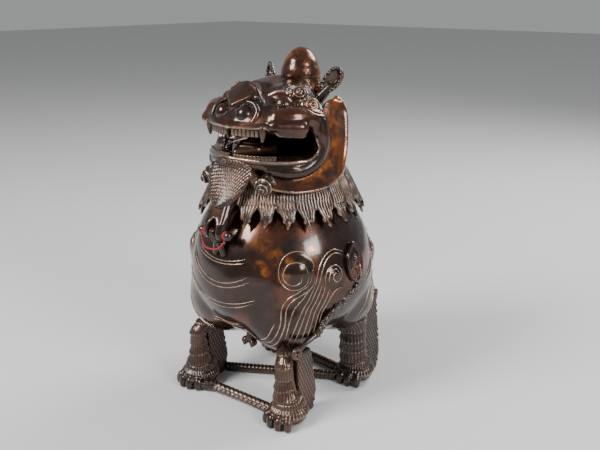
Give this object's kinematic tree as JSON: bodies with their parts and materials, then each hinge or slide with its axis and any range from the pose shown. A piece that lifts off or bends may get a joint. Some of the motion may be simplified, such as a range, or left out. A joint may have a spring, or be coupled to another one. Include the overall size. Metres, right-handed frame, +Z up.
{
  "type": "lion-beast incense burner",
  "caption": "Cast bronze incense burner shaped as a standing single-horned lion-beast; the hollow head is a lid hinged at the chest, and smoke leaves by the open mouth.",
  "frame": {"origin": "on the ground, at the centre of the object's footprint box", "axes": "+Z up, the animal faces -Y, its left side is +X"},
  "size_m": [0.1118, 0.1171, 0.1984],
  "materials": {
    "dark_bronze": "glossy dark brown patina",
    "worn_bronze": "brown patina worn at the edges",
    "amber_bronze": "glossy amber lacquered patina",
    "red_thread": "twisted cotton"
  },
  "bodies": {
    "vessel": {"vessel_bowl": "dark_bronze", "neck_ring": "dark_bronze", "hinge_knuckle": "dark_bronze", "hinge_pin": "worn_bronze", "red_thread": "red_thread", "belly_bead_knob": "worn_bronze", "front_left_leg": "worn_bronze", "front_right_leg": "worn_bronze", "rear_left_leg": "worn_bronze", "rear_right_leg": "worn_bronze", "front_left_claws": "worn_bronze", "front_right_claws": "worn_bronze", "rear_left_claws": "worn_bronze", "rear_right_claws": "worn_bronze", "front_left_tuft": "worn_bronze", "front_right_tuft": "worn_bronze", "rear_left_tuft": "worn_bronze", "rear_right_tuft": "worn_bronze", "left_flame_wing": "dark_bronze", "right_flame_wing": "dark_bronze", "left_flank_ridge": "worn_bronze", "right_flank_ridge": "worn_bronze", "tail": "worn_bronze", "snake_front_bar": "worn_bronze", "snake_cross_bar": "worn_bronze", "snake_rear_bar": "worn_bronze", "snake_head": "worn_bronze"},
    "head": {"head_shell": "dark_bronze", "seat_ring": "dark_bronze", "hinge_strap": "dark_bronze", "mane_collar": "worn_bronze", "left_cheek_flange": "amber_bronze", "right_cheek_flange": "amber_bronze", "horn": "amber_bronze", "left_ear": "worn_bronze", "right_ear": "worn_bronze", "left_eye": "dark_bronze", "right_eye": "dark_bronze", "left_brow_curls": "worn_bronze", "right_brow_curls": "worn_bronze", "left_nostril": "dark_bronze", "right_nostril": "dark_bronze", "nose_ridge": "dark_bronze", "upper_teeth": "worn_bronze", "lower_teeth": "worn_bronze", "canine_teeth": "worn_bronze", "tongue": "worn_bronze", "beard": "worn_bronze", "left_beard_curl": "worn_bronze", "right_beard_curl": "worn_bronze"}
  },
  "joints": [
    {"name": "head_hinge", "type": "hinge", "parent": "vessel", "child": "head", "pos_m": [0, -0.0535, 0.105], "axis": [1, 0, 0], "range_deg": [0, 100]}
  ]
}
